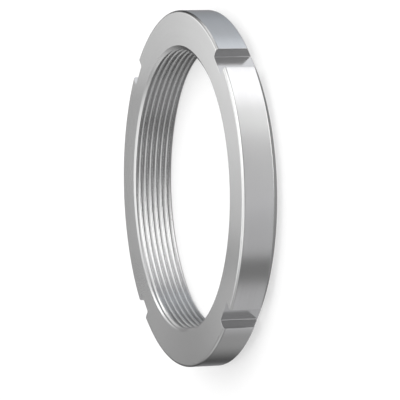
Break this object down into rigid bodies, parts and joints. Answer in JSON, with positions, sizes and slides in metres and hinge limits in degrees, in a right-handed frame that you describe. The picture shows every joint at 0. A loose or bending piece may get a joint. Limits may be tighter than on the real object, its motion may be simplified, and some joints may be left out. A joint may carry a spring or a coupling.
{
  "type": "bearing lock nut",
  "caption": "Slim turned steel ring with an internal fine thread and spanner slots across its rim, for locking a bearing on a shaft",
  "frame": {"origin": "centre of the clamp face, the chamfered side, on which the nut lies", "axes": "+Z along the thread's axis, from the clamp face to the outer face; +X and +Y each through the middle of a spanner slot"},
  "size_m": [0.2494, 0.2494, 0.029],
  "materials": {
    "steel": "fine turned and bright, lightly satin"
  },
  "bodies": {
    "root": {"lock_nut": "steel"}
  },
  "joints": []
}
